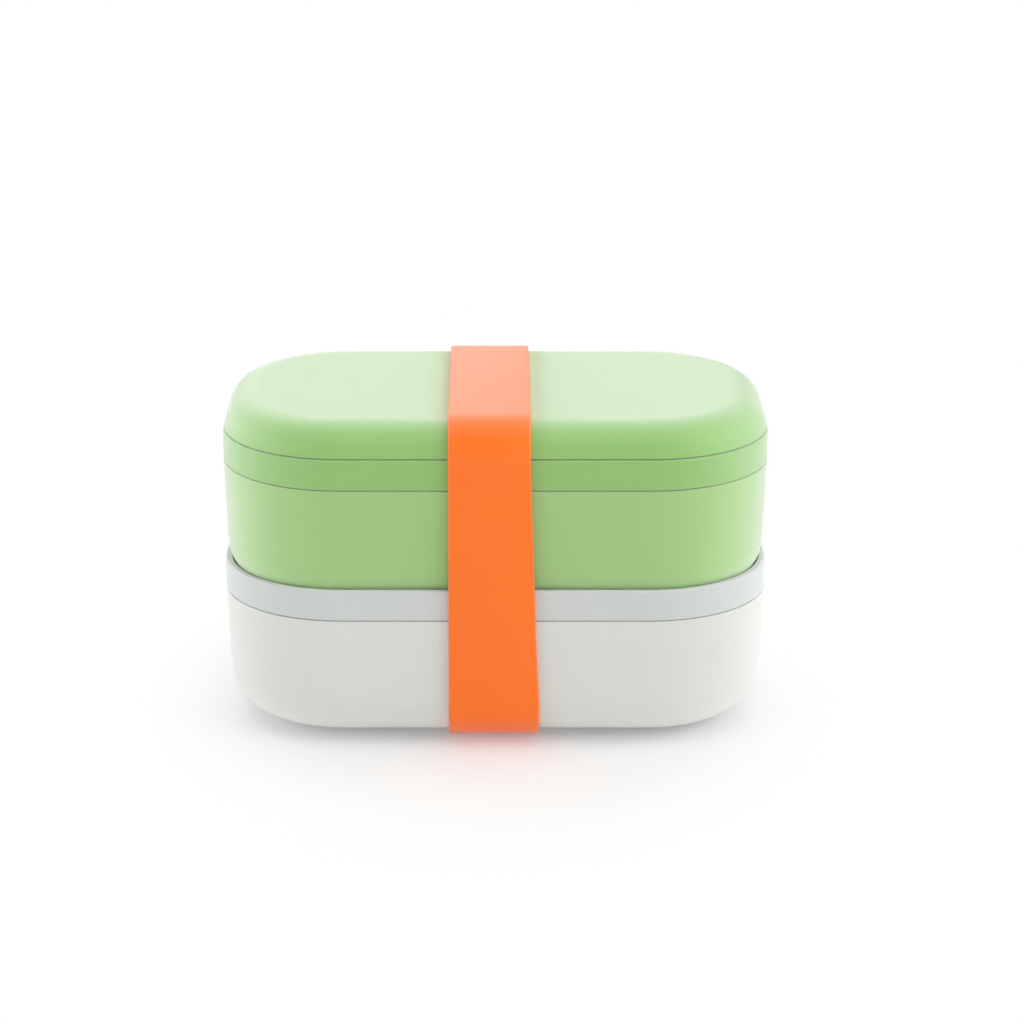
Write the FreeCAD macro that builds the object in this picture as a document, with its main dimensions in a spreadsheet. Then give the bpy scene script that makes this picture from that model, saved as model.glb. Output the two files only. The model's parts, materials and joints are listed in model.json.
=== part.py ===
import FreeCAD, Part
import math
import os
import re

import Sketcher

# Two-tier bento lunch box: two nesting containers, each with a sealed lid,
# a hollow cover on top and an elastic strap round the middle.
# Millimetres, +Z up. The origin is on the ground, under the middle of the box.

doc = FreeCAD.newDocument("BentoLunchBox")
sizes = doc.addObject("Spreadsheet::Sheet", "Sizes")
slack = 0.01   # for finding edges and faces by where they lie

drivingSizes = {
    "boxLength": 180.0,        # over the lid collars
    "boxDepth": 103.0,         # over the lid collars
    "cornerRadius": 40.0,      # plan corner of the collars
    "containerHeight": 42.0,   # underside to the shoulder that carries the lid
    "draft": 2.0,              # lean of the container's outer wall, degrees
    "wall": 2.3,               # container wall just above its floor
    "floorThickness": 2.0,     # container floor
    "baseRound": 15.0,         # bowl-like outer edge of the container's underside
    "rimWall": 1.5,            # thickness of the container's rim
    "rimRound": 0.4,           # inner edge of the rim
    "skirtThickness": 1.5,     # lid skirt outside the rim
    "partingGap": 0.35,        # shadow gap between pieces that stand on each other
    "edgeBreak": 0.2,          # broken edges along the shadow gaps
    "fitClearance": 0.3,       # between pieces that lift apart
    "sealThickness": 1.2,      # flat gasket between rim and lid
    "sealPlay": 0.12,          # each side of the gasket in its channel
    "lidFloor": 1.4,           # floor of the lid's pan and of the shelf round it
    "nestRise": 2.3,           # pan floor above the container's shoulder
    "recessDepth": 8.1,        # lip of the lid above the pan floor
    "panRound": 2.0,           # inner edge of the pan floor
    "lipRound": 0.7,           # outer top edge of the lip
    "lipInnerRound": 0.5,      # inner top edge of the lip
    "plugReach": 4.0,          # plug ring of the lid below the shoulder
    "plugWall": 1.5,           # thickness of the plug ring
    "coverRise": 10.7,         # cover above the upper lid's lip
    "coverSetback": 0.4,       # lower edge of the cover's shell inside the collar
    "coverLean": 14.0,         # lean of the cover's side, degrees
    "coverEdge": 11.0,         # round shoulder of the cover
    "coverWall": 1.9,          # top of the cover
    "spigotWall": 1.5,         # ring of the cover that stands inside the lip
    "strapWidth": 28.2,
    "strapThickness": 1.8,
    "strapRound": 0.6,         # long edges of the strap
    "strapClearance": 0.3,     # strap to the walls it passes
    "collarBend": 6.0,         # inner bend of the strap over the upper collar
    "wallBend": 60.0,          # inner bend of the strap at the lower shoulder
    "footBend": 14.5,          # inner bend of the strap under the base
}

# What follows from the driving sizes: insets from the collar's outline, heights in a tier,
# levels in the stack and the strap's route
derivedSizes = {
    "baseInset": "containerHeight * tan(draft * 1 deg)",
    "roundCentre": "(containerHeight - baseRound) * tan(draft * 1 deg) + baseRound / cos(draft * 1 deg)",
    "nestInset": "roundCentre - sqrt(baseRound ^ 2 - (baseRound - recessDepth) ^ 2)",
    "lipWidth": "nestInset - fitClearance",
    "lipOuterEdge": "min(lipRound; lipWidth / 2)",
    "lipInnerEdge": "min(lipInnerRound; lipWidth / 4)",
    "rimInset": "skirtThickness + fitClearance",
    "cavityInset": "rimInset + rimWall",
    "plugInset": "max(cavityInset; baseInset + wall) + fitClearance",
    "panInset": "plugInset + plugWall",
    "sealOuterInset": "skirtThickness + sealPlay",
    "sealInnerInset": "plugInset - sealPlay",
    "shelfRise": "baseRound - sqrt(baseRound ^ 2 - (roundCentre - panInset) ^ 2) - fitClearance",
    "shelfDepth": "recessDepth - shelfRise",
    "panEdge": "min(panRound; shelfRise / 2)",
    "rimHeight": "nestRise + shelfRise - lidFloor - sealThickness",
    "rimTop": "containerHeight + rimHeight",
    "cavityDepth": "rimTop - floorThickness",
    "cavityDraft": "atan((baseInset + wall - cavityInset) / cavityDepth) / 1 deg",
    "cavityRound": "baseRound - wall",
    "lidSeat": "containerHeight + partingGap",
    "channelDepth": "rimTop - lidSeat + sealThickness",
    "lidHeight": "nestRise + recessDepth - partingGap",
    "shelfLevel": "lidHeight - shelfDepth",
    "plugLength": "channelDepth + partingGap + plugReach",
    "hollowDepth": "plugReach + nestRise - lidFloor",
    "tierPitch": "containerHeight + nestRise",
    "shellSeat": "shelfDepth + partingGap",
    "shellHeight": "coverRise - partingGap",
    "coverHeight": "shelfDepth + coverRise",
    "coverDepth": "coverHeight - coverWall",
    "coverInnerInset": "nestInset + spigotWall",
    "sideLength": "shellHeight / cos(coverLean * 1 deg)",
    "shoulderRadius": "min(coverEdge; 0.98 * sideLength / tan((90 - coverLean) / 2 * 1 deg))",
    "shoulderInset": "coverSetback + (shellHeight - shoulderRadius) * tan(coverLean * 1 deg)"
                     " + shoulderRadius / cos(coverLean * 1 deg)",
    "innerHeight": "coverDepth - shellSeat",
    "innerShoulderRadius": "(shoulderInset - coverInnerInset - innerHeight * tan(coverLean * 1 deg))"
                           " / (1 / cos(coverLean * 1 deg) - tan(coverLean * 1 deg))",
    "lowerLevel": "strapThickness",
    "upperLevel": "lowerLevel + tierPitch",
    "coverLevel": "upperLevel + tierPitch + shelfRise",
    "topLevel": "coverLevel + coverHeight",
    "shoulderCentre": "boxDepth / 2 - shoulderInset + strapClearance",
    "bendLevel": "coverLevel + shelfDepth - lipOuterEdge",
    "strapReach": "boxDepth / 2 + strapClearance",
    "footRadius": "min(footBend; baseRound)",
    "footCentre": "boxDepth / 2 - baseInset + strapClearance"
                  " - footRadius * (1 / cos(draft * 1 deg) - tan(draft * 1 deg))",
}


def fillSheet():
    rows = [(alias, str(value)) for alias, value in drivingSizes.items()]
    rows += [(alias, "=" + formula) for alias, formula in derivedSizes.items()]
    for row, (alias, text) in enumerate(rows, 1):
        sizes.set(f"A{row}", alias)
        sizes.set(f"B{row}", text)
        sizes.setAlias(f"B{row}", alias)
    doc.recompute()


def size(alias):
    return float(getattr(sizes, alias))


def bind(target, name, formula):
    # A formula on the sheet's aliases drives one property
    def fromSheet(word):
        known = word[0] in drivingSizes or word[0] in derivedSizes
        return "Sizes." + word[0] if known else word[0]

    target.setExpression(name, re.sub(r"[A-Za-z]\w*", fromSheet, formula))


def newBody(node, level):
    body = doc.addObject("PartDesign::Body", node)
    body.Label = node
    bind(body, "Placement.Base.z", level)
    return body


def newSketch(body, name, role, level):
    plane = next(plane for plane in body.Origin.OriginFeatures if plane.Role == role)
    sketch = body.newObject("Sketcher::SketchObject", name)
    sketch.AttachmentSupport = [(plane, "")]
    sketch.MapMode = "FlatFace"
    bind(sketch, "AttachmentOffset.Base.z", level)
    return sketch


def measure(sketch, formula, value, kind, *picks):
    index = sketch.addConstraint(Sketcher.Constraint(kind, *picks, value))
    bind(sketch, f"Constraints[{index}]", formula)


def line(start, end):
    return Part.LineSegment(FreeCAD.Vector(*start, 0), FreeCAD.Vector(*end, 0))


def arc(centre, radius, start, end):
    circle = Part.Circle(FreeCAD.Vector(*centre, 0), FreeCAD.Vector(0, 0, 1), radius)
    return Part.ArcOfCircle(circle, start, end)


def addLoop(sketch, pieces):
    # Lines and arcs in order round a closed loop, each tangent to the next
    indices = sketch.addGeometry(pieces, False)
    for this, following in zip(indices, indices[1:] + indices[:1]):
        sketch.addConstraint(Sketcher.Constraint("Tangent", this, 2, following, 1))
    return indices


def planOutline(sketch, inset=None):
    # The collar's outline, or that outline drawn in: four straights and four round corners
    drawnIn = size(inset) if inset else 0.0
    halfX = size("boxLength") / 2 - drawnIn
    halfY = size("boxDepth") / 2 - drawnIn
    radius = size("cornerRadius") - drawnIn
    midX = halfX - radius
    midY = halfY - radius
    quarter = math.pi / 2
    front, _, right, _, back, _, left, _ = corners = addLoop(sketch, [
        line((-midX, -halfY), (midX, -halfY)),
        arc((midX, -midY), radius, -quarter, 0),
        line((halfX, -midY), (halfX, midY)),
        arc((midX, midY), radius, 0, quarter),
        line((midX, halfY), (-midX, halfY)),
        arc((-midX, midY), radius, quarter, 2 * quarter),
        line((-halfX, midY), (-halfX, -midY)),
        arc((-midX, -midY), radius, 2 * quarter, 3 * quarter),
    ])
    arcs = corners[1::2]
    for flat in (front, back):
        sketch.addConstraint(Sketcher.Constraint("Horizontal", flat))
    for upright in (right, left):
        sketch.addConstraint(Sketcher.Constraint("Vertical", upright))
    for other in arcs[1:]:
        sketch.addConstraint(Sketcher.Constraint("Equal", arcs[0], other))
    sketch.addConstraint(Sketcher.Constraint("Symmetric", arcs[0], 3, arcs[2], 3, -1, 1))
    less = f" - {inset}" if inset else ""
    lessTwice = f" - 2 * {inset}" if inset else ""
    measure(sketch, "boxLength" + lessTwice, 2 * halfX, "DistanceX", left, 1, right, 1)
    measure(sketch, "boxDepth" + lessTwice, 2 * halfY, "DistanceY", front, 1, back, 1)
    measure(sketch, "cornerRadius" + less, radius, "Radius", arcs[0])


def outlineSketch(body, name, level, *insets):
    sketch = newSketch(body, name, "XY_Plane", level)
    for inset in insets:
        planOutline(sketch, inset)
    doc.recompute()
    return sketch


def pad(body, name, sketch, length, downwards=False, lean=None):
    feature = body.newObject("PartDesign::Pad", name)
    feature.Profile = sketch
    feature.Reversed = downwards
    bind(feature, "Length", length)
    if lean:
        bind(feature, "TaperAngle", lean)
    doc.recompute()
    return feature


def pocket(body, name, sketch, depth, upwards=False, lean=None):
    before = body.Shape.Volume
    feature = body.newObject("PartDesign::Pocket", name)
    feature.Profile = sketch
    feature.Reversed = upwards
    bind(feature, "Length", depth)
    if lean:
        bind(feature, "TaperAngle", lean)
    doc.recompute()
    if body.Shape.Volume >= before:
        raise RuntimeError(f"{name} cuts nothing")
    return feature


def rimEdges(feature, level, outer=True):
    # Edges round the level faces at a height: their outer loops, or the loops inside them
    picked = []
    for face in feature.Shape.Faces:
        box = face.BoundBox
        if max(abs(box.ZMin - level), abs(box.ZMax - level)) < slack:
            for loop in face.Wires:
                if loop.isSame(face.OuterWire) == outer:
                    picked += loop.Edges
    edges = enumerate(feature.Shape.Edges, 1)
    return [f"Edge{i}" for i, edge in edges if any(edge.isSame(pick) for pick in picked)]


def fillet(body, name, base, edges, radius):
    feature = body.newObject("PartDesign::Fillet", name)
    feature.Base = (base, edges)
    bind(feature, "Radius", radius)
    doc.recompute()
    return feature


def makeContainer(node, level):
    body = newBody(node, level)
    foot = outlineSketch(body, node + "_foot", "0", "baseInset")
    pad(body, node + "_blank", foot, "containerHeight", lean="draft * 1 deg")
    rimPlan = outlineSketch(body, node + "_rim_plan", "containerHeight", "rimInset")
    pad(body, node + "_rim", rimPlan, "rimHeight")
    mouth = outlineSketch(body, node + "_mouth", "rimTop", "cavityInset")
    cavity = pocket(body, node + "_cavity", mouth, "cavityDepth", lean="-cavityDraft * 1 deg")
    floorEdges = rimEdges(cavity, size("floorThickness"))
    softFloor = fillet(body, node + "_cavity_round", cavity, floorEdges, "cavityRound")
    softBase = fillet(body, node + "_base_round", softFloor, rimEdges(softFloor, 0), "baseRound")
    mouthEdges = rimEdges(softBase, size("rimTop"), outer=False)
    softMouth = fillet(body, node + "_mouth_round", softBase, mouthEdges, "rimRound")
    shoulderEdges = rimEdges(softMouth, size("containerHeight"))
    fillet(body, node + "_shoulder_break", softMouth, shoulderEdges, "edgeBreak")
    return body


def makeLid(node, level):
    # A collar with a stepped recess: a shelf behind the lip and a pan sunk into the plug
    body = newBody(node, level)
    collar = outlineSketch(body, node + "_collar", "0", None)
    pad(body, node + "_blank", collar, "lidHeight")
    recessPlan = outlineSketch(body, node + "_recess_plan", "lidHeight", "lipWidth")
    pocket(body, node + "_recess", recessPlan, "shelfDepth")
    skirtPlan = outlineSketch(body, node + "_skirt_plan", "0", "skirtThickness")
    pocket(body, node + "_channel", skirtPlan, "channelDepth", upwards=True)
    plugPlan = outlineSketch(body, node + "_plug_plan", "channelDepth", "plugInset")
    pad(body, node + "_plug", plugPlan, "plugLength", downwards=True)
    panPlan = outlineSketch(body, node + "_pan_plan", "shelfLevel", "panInset")
    pocket(body, node + "_pan", panPlan, "shelfRise")
    hollowPlan = outlineSketch(body, node + "_hollow_plan", "-partingGap - plugReach", "panInset")
    hollow = pocket(body, node + "_hollow", hollowPlan, "hollowDepth", upwards=True)
    panEdges = rimEdges(hollow, size("shelfLevel") - size("shelfRise"))
    pan = fillet(body, node + "_pan_round", hollow, panEdges, "panEdge")
    lip = fillet(body, node + "_lip_round", pan, rimEdges(pan, size("lidHeight")), "lipOuterEdge")
    innerEdges = rimEdges(lip, size("lidHeight"), outer=False)
    innerLip = fillet(body, node + "_lip_inner_round", lip, innerEdges, "lipInnerEdge")
    fillet(body, node + "_skirt_break", innerLip, rimEdges(innerLip, 0), "edgeBreak")
    return body


def makeSeal(node, level):
    body = newBody(node, level)
    ring = outlineSketch(body, node + "_ring", "0", "sealOuterInset", "sealInnerInset")
    pad(body, node + "_gasket", ring, "sealThickness")
    return body


def makeCover(node, level):
    # A shell almost flush with the collar, on a ring that stands on the upper lid's shelf
    body = newBody(node, level)
    ring = outlineSketch(body, node + "_ring", "0", "nestInset")
    pad(body, node + "_spigot", ring, "shellSeat")
    seat = outlineSketch(body, node + "_seat", "shellSeat", "coverSetback")
    pad(body, node + "_shell", seat, "shellHeight", lean="-coverLean * 1 deg")
    borePlan = outlineSketch(body, node + "_bore_plan", "0", "coverInnerInset")
    pocket(body, node + "_bore", borePlan, "shellSeat", upwards=True)
    inside = outlineSketch(body, node + "_inside", "shellSeat", "coverInnerInset")
    hollow = pocket(body, node + "_hollow", inside, "innerHeight", upwards=True, lean="-coverLean * 1 deg")
    ceilingEdges = rimEdges(hollow, size("coverDepth"))
    innerRound = fillet(body, node + "_inner_shoulder", hollow, ceilingEdges, "innerShoulderRadius")
    topEdges = rimEdges(innerRound, size("coverHeight"))
    shoulder = fillet(body, node + "_shoulder", innerRound, topEdges, "shoulderRadius")
    lowerEdges = rimEdges(shoulder, size("shellSeat")) + rimEdges(shoulder, 0)
    fillet(body, node + "_edge_break", shoulder, lowerEdges, "edgeBreak")
    return body


def strapLoop(sketch, outwards=None):
    # One face of the strap, seen from the end of the box: flat under the base and over the
    # cover, up the lower wall, straight between the two collars and round the cover's shoulder
    extra = size(outwards) if outwards else 0.0
    plus = f" + {outwards}" if outwards else ""
    lean = math.radians(size("draft"))
    half = math.pi / 2
    foot = (size("footCentre"), size("lowerLevel") + size("footRadius"))
    footRadius = size("footRadius") + extra
    shoulder = (size("shoulderCentre"), size("topLevel") - size("shoulderRadius"))
    shoulderRadius = size("shoulderRadius") + extra
    collarRadius = size("collarBend") + extra
    collar = (size("strapReach") - size("collarBend"), size("bendLevel"))
    wallRadius = size("wallBend") + extra
    crease = size("lowerLevel") + size("containerHeight")
    wallBend = (size("strapReach") - size("wallBend"), crease - size("wallBend") * math.tan(lean / 2))

    # The straight from the collar to the shoulder touches both round bends at one angle
    across = shoulder[0] - collar[0]
    above = shoulder[1] - collar[1]
    ease = (collarRadius - shoulderRadius) / math.hypot(across, above)
    wrap = (math.atan2(above, across) - math.acos(ease)) % (4 * half)

    def on(centre, radius, angle):
        return (centre[0] + radius * math.cos(angle), centre[1] + radius * math.sin(angle))

    bends = [
        (foot, footRadius, -half, -lean),
        (wallBend, wallRadius, -lean, 0.0),
        (collar, collarRadius, 0.0, wrap),
        (shoulder, shoulderRadius, wrap, half),
    ]
    bends += [
        ((-centre[0], centre[1]), radius, math.pi - end, math.pi - start)
        for centre, radius, start, end in reversed(bends)
    ]
    pieces = []
    for i, (centre, radius, start, end) in enumerate(bends):
        before = bends[i - 1]
        pieces.append(line(on(before[0], before[1], before[3]), on(centre, radius, start)))
        pieces.append(arc(centre, radius, start, end))
    loop = addLoop(sketch, pieces)

    straights = loop[0::2]
    arcs = loop[1::2]
    bottom, top = straights[0], straights[4]
    for level in (bottom, top):
        sketch.addConstraint(Sketcher.Constraint("Horizontal", level))
    less = plus.replace("+", "-")
    measure(sketch, "lowerLevel" + less, size("lowerLevel") - extra, "DistanceY", -1, 1, bottom, 1)
    measure(sketch, "topLevel" + plus, size("topLevel") + extra, "DistanceY", -1, 1, top, 1)

    # The same measures on both sides, always read outwards from the middle plane
    for side, picks in ((1, (0, 1, 2, 3)), (-1, (7, 6, 5, 4))):
        footArc, wallArc, collarArc, shoulderArc = (arcs[pick] for pick in picks)
        leaning, upright = (straights[1], straights[2]) if side > 0 else (straights[7], straights[6])
        turn = (leaning, upright) if side > 0 else (upright, leaning)

        def outFromMiddle(formula, value, piece, point):
            ends = (-1, 1, piece, point) if side > 0 else (piece, point, -1, 1)
            measure(sketch, formula, value, "DistanceX", *ends)

        sketch.addConstraint(Sketcher.Constraint("Vertical", upright))
        outFromMiddle("strapReach" + plus, size("strapReach") + extra, upright, 1)
        outFromMiddle("footCentre", foot[0], footArc, 3)
        outFromMiddle("shoulderCentre", shoulder[0], shoulderArc, 3)
        measure(sketch, "draft * 1 deg", lean, "Angle", *turn)
        measure(sketch, "footRadius" + plus, footRadius, "Radius", footArc)
        measure(sketch, "wallBend" + plus, wallRadius, "Radius", wallArc)
        measure(sketch, "collarBend" + plus, collarRadius, "Radius", collarArc)
        measure(sketch, "bendLevel", collar[1], "DistanceY", -1, 1, collarArc, 3)
        measure(sketch, "shoulderRadius" + plus, shoulderRadius, "Radius", shoulderArc)


def makeStrap(node):
    body = newBody(node, "0")
    section = newSketch(body, node + "_section", "YZ_Plane", "0")
    strapLoop(section)
    strapLoop(section, "strapThickness")
    doc.recompute()
    band = body.newObject("PartDesign::Pad", node + "_band")
    band.Profile = section
    band.SideType = "Symmetric"
    bind(band, "Length", "strapWidth")
    doc.recompute()
    edges = enumerate(band.Shape.Edges, 1)
    sides = [f"Edge{i}" for i, edge in edges if edge.BoundBox.XLength < slack]
    fillet(body, node + "_edge_round", band, sides, "strapRound")
    return body


fillSheet()
pieces = [
    makeContainer("lower_box", "lowerLevel"),
    makeLid("lower_lid", "lowerLevel + lidSeat"),
    makeSeal("lower_seal", "lowerLevel + rimTop"),
    makeContainer("upper_box", "upperLevel"),
    makeLid("upper_lid", "upperLevel + lidSeat"),
    makeSeal("upper_seal", "upperLevel + rimTop"),
    makeCover("cover", "coverLevel"),
    makeStrap("strap"),
]
doc.recompute()

for thing in doc.Objects:
    if "Invalid" in thing.State or "Error" in thing.State:
        raise RuntimeError(f"{thing.Name} failed: {thing.State}")
for piece in pieces:
    if piece.Shape.isNull() or not piece.Shape.isValid() or len(piece.Shape.Solids) != 1:
        raise RuntimeError(f"{piece.Label} is not one valid solid")

os.makedirs("parts", exist_ok=True)
for piece in pieces:
    piece.Shape.exportStep(f"parts/{piece.Label}.step")
    print(piece.Label, round(piece.Shape.Volume / 1000, 2), "cm3")
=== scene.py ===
import json
import math

import bmesh
import bpy
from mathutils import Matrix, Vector

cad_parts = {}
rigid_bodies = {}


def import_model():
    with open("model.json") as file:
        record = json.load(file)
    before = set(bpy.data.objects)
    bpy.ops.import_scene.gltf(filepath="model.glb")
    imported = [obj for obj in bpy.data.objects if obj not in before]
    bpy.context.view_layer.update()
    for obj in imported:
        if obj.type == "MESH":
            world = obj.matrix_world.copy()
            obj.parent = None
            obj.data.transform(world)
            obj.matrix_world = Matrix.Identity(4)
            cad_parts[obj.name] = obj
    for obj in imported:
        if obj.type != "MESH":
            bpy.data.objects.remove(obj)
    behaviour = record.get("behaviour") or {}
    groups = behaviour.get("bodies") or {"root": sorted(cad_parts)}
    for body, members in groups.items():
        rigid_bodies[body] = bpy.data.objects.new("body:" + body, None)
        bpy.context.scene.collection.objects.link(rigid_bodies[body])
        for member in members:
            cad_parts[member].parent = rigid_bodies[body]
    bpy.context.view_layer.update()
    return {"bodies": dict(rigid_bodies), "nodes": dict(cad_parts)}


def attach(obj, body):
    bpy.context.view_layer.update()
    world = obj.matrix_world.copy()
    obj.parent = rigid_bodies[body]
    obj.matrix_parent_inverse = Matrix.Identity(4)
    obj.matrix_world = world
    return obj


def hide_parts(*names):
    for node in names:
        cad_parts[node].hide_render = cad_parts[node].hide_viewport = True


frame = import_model()


# Shader maths: a Signal is one output socket, and sums on it add Math nodes

class Signal:
    def __init__(self, tree, socket):
        self.tree = tree
        self.socket = socket

    def sum(self, operation, first, second):
        settings = {"operation": operation}
        return addNode(self.tree, "ShaderNodeMath", settings, {0: first, 1: second})

    def __add__(self, other):
        return self.sum("ADD", self, other)

    def __radd__(self, other):
        return self.sum("ADD", other, self)

    def __sub__(self, other):
        return self.sum("SUBTRACT", self, other)

    def __rsub__(self, other):
        return self.sum("SUBTRACT", other, self)

    def __mul__(self, other):
        return self.sum("MULTIPLY", self, other)

    def __rmul__(self, other):
        return self.sum("MULTIPLY", other, self)


def addNode(tree, kind, settings, inputs, output=0):
    # settings are set first, then the sockets get a value or a link
    node = tree.nodes.new(kind)
    for name, value in settings.items():
        setattr(node, name, value)
    for name, value in inputs.items():
        if isinstance(value, Signal):
            tree.links.new(value.socket, node.inputs[name])
        else:
            node.inputs[name].default_value = value
    return Signal(tree, node.outputs[output]) if len(node.outputs) else node


def newMaterial(name):
    material = bpy.data.materials.new(name)
    material.use_nodes = True
    material.node_tree.nodes.clear()
    return material, material.node_tree


def finishMaterial(tree, shader):
    addNode(tree, "ShaderNodeOutputMaterial", {}, {"Surface": shader})


noiseMiddle = 0.5   # a noise swings about this


def noise(tree, place, blotch):
    # a blotch is its width in metres and its detail
    width, detail = blotch
    inputs = {"Vector": place, "Scale": 1 / width, "Detail": detail}
    return addNode(tree, "ShaderNodeTexNoise", {"noise_dimensions": "3D"}, inputs)


def mixColour(tree, factor, first, second):
    # 6 and 7 are the colour inputs of a Mix node, and 2 is its colour output
    inputs = {"Factor": factor, 6: first, 7: second}
    return addNode(tree, "ShaderNodeMix", {"data_type": "RGBA"}, inputs, 2)


# Moulded plastic: satin, with faint flow marks and the fine grain of an eroded mould.
# The lids are of a deeper shade than the boxes, which is painted shade: it stands in for the
# lesser light that falls on the lids' collars. Bloom is the pale sheen of the matt green
# surface at a flat angle, and matt is how evenly the white one spreads the light.

plastics = {
    "greenBox": {"light": (0.274, 0.510, 0.126, 1), "dark": (0.257, 0.488, 0.116, 1),
                 "rough": 0.45, "bloom": 1.0, "matt": 0.0},
    # painted shade: a darker green than the box, for the lesser light on the lid's collar
    "greenLid": {"light": (0.214, 0.459, 0.085, 1), "dark": (0.199, 0.439, 0.077, 1),
                 "rough": 0.55, "bloom": 0.92, "matt": 0.0},
    "whiteBox": {"light": (0.762, 0.778, 0.745, 1), "dark": (0.738, 0.754, 0.721, 1),
                 "rough": 0.50, "bloom": 0.0, "matt": 1.0},
    # painted shade: a greyer white than the box, for the lesser light on the lid's collar
    "whiteLid": {"light": (0.689, 0.714, 0.699, 1), "dark": (0.665, 0.690, 0.675, 1),
                 "rough": 0.50, "bloom": 0.0, "matt": 1.0},
}
plasticGrain = {
    "flow": (0.035, 3.0),       # flow mark: width in metres, detail
    "scuff": (0.0012, 4.0),     # handling scuff
    "scuffLength": 9.0,         # times its width
    "scuffTurn": (0.5, 0.3, 0.7),   # radians, so that scuffs run askew
    "grain": (0.00050, 2.0),
    "grainHeight": 0.000045,
    "flowSwing": 0.06,          # how far each moves the roughness
    "scuffSwing": 0.05,
    "ior": 1.49,
    "bloomRough": 0.62,
}


def mouldedPlastic(name):
    look = plastics[name]
    material, tree = newMaterial(name)
    place = addNode(tree, "ShaderNodeTexCoord", {}, {}, "Object")
    drawnOut = addNode(tree, "ShaderNodeMapping", {}, {
        "Vector": place, "Rotation": plasticGrain["scuffTurn"],
        "Scale": (1 / plasticGrain["scuffLength"], 1, 1)})
    flow = noise(tree, place, plasticGrain["flow"])
    scuff = noise(tree, drawnOut, plasticGrain["scuff"])
    grain = noise(tree, place, plasticGrain["grain"])
    bump = addNode(tree, "ShaderNodeBump", {}, {
        "Distance": plasticGrain["grainHeight"], "Height": grain})
    rough = look["rough"] + plasticGrain["flowSwing"] * (flow - noiseMiddle)
    shader = addNode(tree, "ShaderNodeBsdfPrincipled", {}, {
        "Base Color": mixColour(tree, flow, look["dark"], look["light"]),
        "Roughness": rough + plasticGrain["scuffSwing"] * (scuff - noiseMiddle),
        "IOR": plasticGrain["ior"],
        "Diffuse Roughness": look["matt"],
        "Sheen Weight": look["bloom"],
        "Sheen Roughness": plasticGrain["bloomRough"],
        "Normal": bump,
    })
    finishMaterial(tree, shader)
    return material


# Silicone: matt and a little powdery, with faint clouds in its colour

silicones = {
    "strap": {"light": (0.985, 0.172, 0.002, 1), "dark": (0.955, 0.158, 0.001, 1),
              "rough": 0.48},
    "seal": {"light": (0.76, 0.77, 0.75, 1), "dark": (0.70, 0.71, 0.69, 1), "rough": 0.50},
}
siliconeGrain = {
    "cloud": (0.018, 3.0),      # width in metres, detail
    "grain": (0.00045, 2.0),
    "grainHeight": 0.000050,
    "cloudSwing": 0.08,
    "ior": 1.41,
    "bloom": 0.50,
    "bloomRough": 0.45,
}


def silicone(name):
    look = silicones[name]
    material, tree = newMaterial(name + "Silicone")
    place = addNode(tree, "ShaderNodeTexCoord", {}, {}, "Object")
    cloud = noise(tree, place, siliconeGrain["cloud"])
    grain = noise(tree, place, siliconeGrain["grain"])
    bump = addNode(tree, "ShaderNodeBump", {}, {
        "Distance": siliconeGrain["grainHeight"], "Height": grain})
    shader = addNode(tree, "ShaderNodeBsdfPrincipled", {}, {
        "Base Color": mixColour(tree, cloud, look["dark"], look["light"]),
        "Roughness": look["rough"] + siliconeGrain["cloudSwing"] * (cloud - noiseMiddle),
        "IOR": siliconeGrain["ior"],
        "Sheen Weight": siliconeGrain["bloom"],
        "Sheen Roughness": siliconeGrain["bloomRough"],
        "Normal": bump,
    })
    finishMaterial(tree, shader)
    return material


strapSilicone = silicone("strap")
sealSilicone = silicone("seal")
greenLid = mouldedPlastic("greenLid")
whiteLid = mouldedPlastic("whiteLid")
nodeFinish = {
    "lower_box": mouldedPlastic("whiteBox"),
    "lower_lid": whiteLid,
    "lower_seal": sealSilicone,
    "upper_box": mouldedPlastic("greenBox"),
    "upper_lid": greenLid,
    "upper_seal": sealSilicone,
    "cover": greenLid,
}
for node, material in nodeFinish.items():
    frame["nodes"][node].data.materials.clear()
    frame["nodes"][node].data.materials.append(material)
print("finishes on", len(nodeFinish), "nodes")


# Strap: half of the band is drawn along its route, then mirrored and given its thickness.
# The right edge draws in on the way up, where the silicone is stretched.

strap = {
    "left": -0.0152,
    "right": 0.0143,            # under the base
    "rightAtCrease": 0.0131,
    "rightAtCollar": 0.0113,    # and over the cover
    "thickness": 0.0018,
    "edgeRound": 0.0006,
    "edgeSteps": 3,
    "roundAbove": 60.0,         # degrees: edges sharper than this are rounded
    "smoothBelow": 40.0,
    "under": 0.0018,            # inner face of the run under the base
    "over": 0.1092,             # inner face of the run over the cover
    "lean": 2.0,                # degrees, as the lower wall
    "reach": 0.0518,            # inner face of the upright run, from the middle
    "foot": (0.03633, 0.0145),      # centre from the middle, bend
    "crease": (0.0438, 0.060),      # height, bend
    "collar": (0.0978, 0.006),      # height of the centre, bend
    "shoulder": (0.04023, 0.0110),  # centre from the middle, bend
    "steps": {"foot": 18, "crease": 2, "collar": 6, "shoulder": 10},
    "near": 0.00002,                # points closer than this are one
}


def pickVertices(piece, test):
    # edit mode: selects the vertices that pass the test, and nothing else
    bpy.ops.mesh.select_all(action="DESELECT")
    mesh = bmesh.from_edit_mesh(piece.data)
    for vertex in mesh.verts:
        vertex.select = test(vertex.co)
    mesh.select_flush(True)
    bmesh.update_edit_mesh(piece.data)


def applyModifier(piece, name, kind, settings):
    modifier = piece.modifiers.new(name, kind)
    for key, value in settings.items():
        setattr(modifier, key, value)
    bpy.ops.object.modifier_apply(modifier=name)


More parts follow.
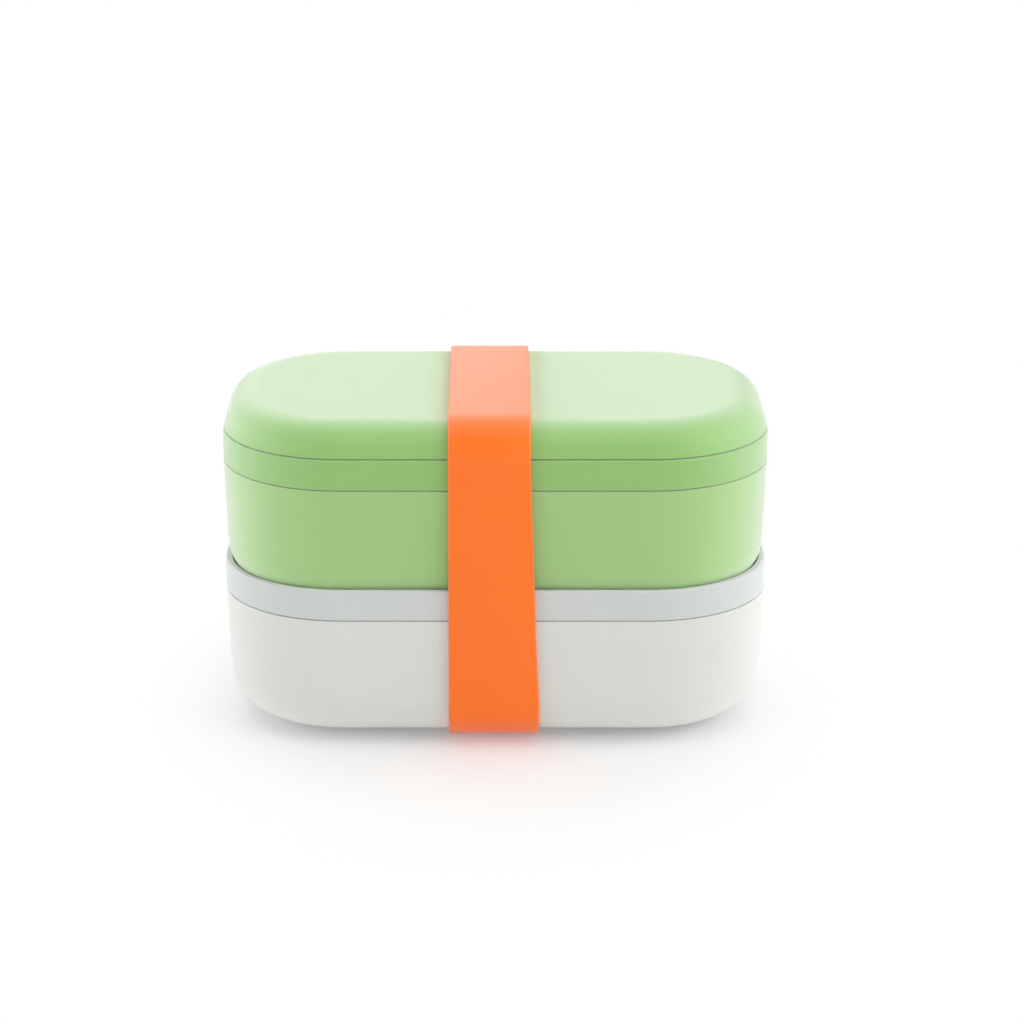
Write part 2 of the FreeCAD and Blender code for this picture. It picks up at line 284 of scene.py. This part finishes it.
def strapRoute():
    # centre of each bend, and its radius with the angles where it starts and stops
    footY, footBend = strap["foot"]
    creaseZ, wallBend = strap["crease"]
    collarZ, collarBend = strap["collar"]
    shoulderY, shoulderBend = strap["shoulder"]
    lean = math.radians(strap["lean"])
    centres = {
        "foot": Vector((0, footY, strap["under"] + footBend)),
        "crease": Vector((0, strap["reach"] - wallBend,
                          creaseZ - wallBend * math.tan(lean / 2))),
        "collar": Vector((0, strap["reach"] - collarBend, collarZ)),
        "shoulder": Vector((0, shoulderY, strap["over"] - shoulderBend)),
    }
    across = centres["shoulder"] - centres["collar"]
    ease = math.acos((collarBend - shoulderBend) / across.length)
    wrap = (math.atan2(across.z, across.y) - ease) % math.tau
    bends = {"foot": (footBend, -math.pi / 2, -lean), "crease": (wallBend, -lean, 0.0),
             "collar": (collarBend, 0.0, wrap), "shoulder": (shoulderBend, wrap, math.pi / 2)}
    return centres, bends


def makeStrap():
    centres, bends = strapRoute()

    def onBend(name, angle):
        bend = bends[name][0]
        return centres[name] + bend * Vector((0, math.cos(angle), math.sin(angle)))

    def at(point):
        return lambda co: (co.yz - point.yz).length < strap["near"]

    width = strap["right"] - strap["left"]
    bpy.ops.object.select_all(action="DESELECT")
    middle = ((strap["left"] + strap["right"]) / 2, width / 2, strap["under"])
    bpy.ops.mesh.primitive_plane_add(size=width, location=middle)
    piece = bpy.context.object
    piece.name = "strap_band"
    bpy.ops.object.transform_apply(location=True)
    bpy.ops.object.mode_set(mode="EDIT")
    pickVertices(piece, lambda co: co.y > width / 2)
    bpy.ops.transform.translate(value=(0, strap["foot"][0] - width, 0))

    # each bend is spun from the free edge, and each straight run is extruded from it
    drawnIn = {"crease": strap["rightAtCrease"], "collar": strap["rightAtCollar"]}
    right = strap["right"]
    end = onBend("foot", bends["foot"][1])
    for name, (_, start, stop) in bends.items():
        into = onBend(name, start)
        if (into - end).length > strap["near"]:
            pickVertices(piece, at(end))
            bpy.ops.mesh.extrude_region_move(TRANSFORM_OT_translate={"value": into - end})
        if name in drawnIn:
            pickVertices(piece, lambda co: co.x > 0 and at(into)(co))
            bpy.ops.transform.translate(value=(drawnIn[name] - right, 0, 0))
            right = drawnIn[name]
        pickVertices(piece, at(into))
        bpy.ops.mesh.spin(steps=strap["steps"][name], angle=stop - start,
                          center=centres[name], axis=(-1, 0, 0))
        end = onBend(name, stop)
    pickVertices(piece, at(end))
    bpy.ops.mesh.extrude_region_move(TRANSFORM_OT_translate={"value": (0, -end.y, 0)})
    bpy.ops.object.mode_set(mode="OBJECT")

    applyModifier(piece, "otherHalf", "MIRROR", {
        "use_axis": (False, True, False), "use_clip": True, "merge_threshold": strap["near"]})
    bpy.ops.object.mode_set(mode="EDIT")
    bpy.ops.mesh.select_all(action="SELECT")
    bpy.ops.mesh.remove_doubles(threshold=strap["near"])
    bpy.ops.mesh.normals_make_consistent(inside=False)
    bpy.ops.object.mode_set(mode="OBJECT")
    applyModifier(piece, "thickness", "SOLIDIFY", {
        "thickness": strap["thickness"], "offset": 1.0, "use_even_offset": True})
    applyModifier(piece, "edgeRound", "BEVEL", {
        "width": strap["edgeRound"], "segments": strap["edgeSteps"], "limit_method": "ANGLE",
        "angle_limit": math.radians(strap["roundAbove"])})
    bpy.ops.object.shade_smooth_by_angle(angle=math.radians(strap["smoothBelow"]))
    piece.data.materials.append(strapSilicone)
    return piece


# When the tiers under it are lifted, the band stretches: its upper part rises with the cover
# until it has been slid off the end of the box

stretch = {
    "holdsBelow": 0.048,    # height on the band up to which it stays
    "fullAbove": 0.0972,    # and from which it rises as far as the cover
    "onBox": 0.104,         # travel of the slide up to which it is still on the box
    "offBox": 0.120,        # and from which it is clear
}


def addStretch(piece):
    tree = bpy.data.node_groups.new("strapStretch", "GeometryNodeTree")
    for inOut in ("INPUT", "OUTPUT"):
        tree.interface.new_socket("Geometry", in_out=inOut, socket_type="NodeSocketGeometry")
    band = addNode(tree, "NodeGroupInput", {}, {})

    def bodyPlace(body, axis):
        # how far the body has moved along one axis
        info = addNode(tree, "GeometryNodeObjectInfo", {"transform_space": "ORIGINAL"},
                       {"Object": frame["bodies"][body]}, "Location")
        return addNode(tree, "ShaderNodeSeparateXYZ", {}, {0: info}, axis)

    def ramp(value, low, high):
        inputs = {"Value": value, "From Min": low, "From Max": high}
        return addNode(tree, "ShaderNodeMapRange", {"clamp": True}, inputs)

    place = addNode(tree, "GeometryNodeInputPosition", {}, {})
    height = addNode(tree, "ShaderNodeSeparateXYZ", {}, {0: place}, "Z")
    carried = ramp(height, stretch["holdsBelow"], stretch["fullAbove"])
    slidOff = ramp(bodyPlace("strap", "X"), stretch["onBox"], stretch["offBox"])
    rise = carried * bodyPlace("cover", "Z") * (1 - slidOff)
    offset = addNode(tree, "ShaderNodeCombineXYZ", {}, {"Z": rise})
    moved = addNode(tree, "GeometryNodeSetPosition", {}, {"Geometry": band, "Offset": offset})
    addNode(tree, "NodeGroupOutput", {}, {0: moved})
    modifier = piece.modifiers.new("strapStretch", "NODES")
    modifier.node_group = tree


strapBand = makeStrap()
addStretch(strapBand)
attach(strapBand, "strap")
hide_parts("strap")
print("strap band:", len(strapBand.data.polygons), "faces")


# Floor, studio light and camera

studio = {
    "white": (1, 1, 1, 1),
    "floorSize": 12.0,
    "floorDrop": 0.0002,            # keeps the paper just off the underside of the strap
    "floorColour": (0.885, 0.885, 0.885, 1),
    "shadowReach": (0.090, 0.165),  # from the middle: paper at first, plain white beyond
    "shadowShape": (1.35, 1.0, 0.0),    # the reach is shorter along x
    "shadowLift": 0.25,             # share of white in the paper
}
lamps = {   # aim is the height on the middle axis that a lamp faces
    "overhead": {"place": (0.0, 0.1, 1.9), "size": (2.4, 2.0), "aim": 0.05, "watts": 24.0},
    "behind": {"place": (0.0, 1.5, 1.3), "size": (2.6, 0.7), "aim": 0.10, "watts": 10.5},
    "front": {"place": (0.0, -2.3, 0.55), "size": (2.4, 1.0), "aim": 0.05, "watts": 12.8},
    "left": {"place": (-1.55, 0.05, 0.45), "size": (3.0, 0.85), "aim": 0.08, "watts": 26.5},
    "right": {"place": (1.50, -0.3, 0.75), "size": (2.0, 1.3), "aim": 0.08, "watts": 26.5},
}


def shownRay(tree):
    # 1 where a camera, mirror or glass ray looks, so the background is white there only
    seen, mirrored, through = [
        addNode(tree, "ShaderNodeLightPath", {}, {}, name)
        for name in ("Is Camera Ray", "Is Glossy Ray", "Is Transmission Ray")]
    return seen.sum("MAXIMUM", seen.sum("MAXIMUM", seen, mirrored), through)


def makeFloor():
    bpy.ops.object.select_all(action="DESELECT")
    place = (0, 0, -studio["floorDrop"])
    bpy.ops.mesh.primitive_plane_add(size=studio["floorSize"], location=place)
    floor = bpy.context.object
    floor.name = "floor"
    material, tree = newMaterial("floorPaper")
    paper = addNode(tree, "ShaderNodeBsdfDiffuse", {}, {"Color": studio["floorColour"]})
    white = addNode(tree, "ShaderNodeEmission", {}, {"Color": studio["white"], "Strength": 1.0})
    spot = addNode(tree, "ShaderNodeTexCoord", {}, {}, "Object")
    fromMiddle = addNode(tree, "ShaderNodeMapping", {}, {
        "Vector": spot, "Scale": studio["shadowShape"]})
    reach = addNode(tree, "ShaderNodeVectorMath", {"operation": "LENGTH"},
                    {0: fromMiddle}, "Value")
    near, far = studio["shadowReach"]
    fade = addNode(tree, "ShaderNodeMapRange", {"interpolation_type": "SMOOTHSTEP"},
                   {"Value": reach, "From Min": near, "From Max": far})
    lift = studio["shadowLift"]
    share = shownRay(tree) * (lift + (1 - lift) * fade)
    shader = addNode(tree, "ShaderNodeMixShader", {}, {0: share, 1: paper, 2: white})
    finishMaterial(tree, shader)
    floor.data.materials.append(material)


def makeWorld():
    # white where it is seen, and no light of its own
    world = bpy.data.worlds.new("tent")
    bpy.context.scene.world = world
    world.use_nodes = True
    tree = world.node_tree
    tree.nodes.clear()
    sky = addNode(tree, "ShaderNodeBackground", {}, {
        "Color": studio["white"], "Strength": shownRay(tree)})
    addNode(tree, "ShaderNodeOutputWorld", {}, {"Surface": sky})


def makeLamps():
    for name, lamp in lamps.items():
        data = bpy.data.lights.new(name, "AREA")
        data.shape = "RECTANGLE"
        data.size, data.size_y = lamp["size"]
        data.energy = lamp["watts"]
        light = bpy.data.objects.new(name, data)
        bpy.context.scene.collection.objects.link(light)
        light.location = lamp["place"]
        aim = Vector((0, 0, lamp["aim"])) - light.location
        light.rotation_euler = aim.to_track_quat("-Z", "Y").to_euler()
        light.visible_camera = False


camera = {
    "aim": (0.0, 0.0, 0.0645),      # the point that the lens looks at
    "distance": 1.186,
    "elevation": 18.1,              # degrees
    "lens": 123.8,
    "sensor": 36.0,
    "aimPixel": 495.4,              # where that point lies across the photograph
    "photoWidth": 1024,
}


def makeCamera():
    data = bpy.data.cameras.new("camera")
    data.lens = camera["lens"]
    data.sensor_width = camera["sensor"]
    data.shift_x = 0.5 - camera["aimPixel"] / camera["photoWidth"]
    eye = bpy.data.objects.new("camera", data)
    bpy.context.scene.collection.objects.link(eye)
    lift = math.radians(camera["elevation"])
    back = Vector((0, -math.cos(lift), math.sin(lift)))
    eye.location = Vector(camera["aim"]) + camera["distance"] * back
    eye.rotation_euler = (-back).to_track_quat("-Z", "Y").to_euler()
    bpy.context.scene.camera = eye


makeFloor()
makeWorld()
makeLamps()
makeCamera()
bpy.context.scene.view_settings.view_transform = "Standard"
print("studio and camera ready")
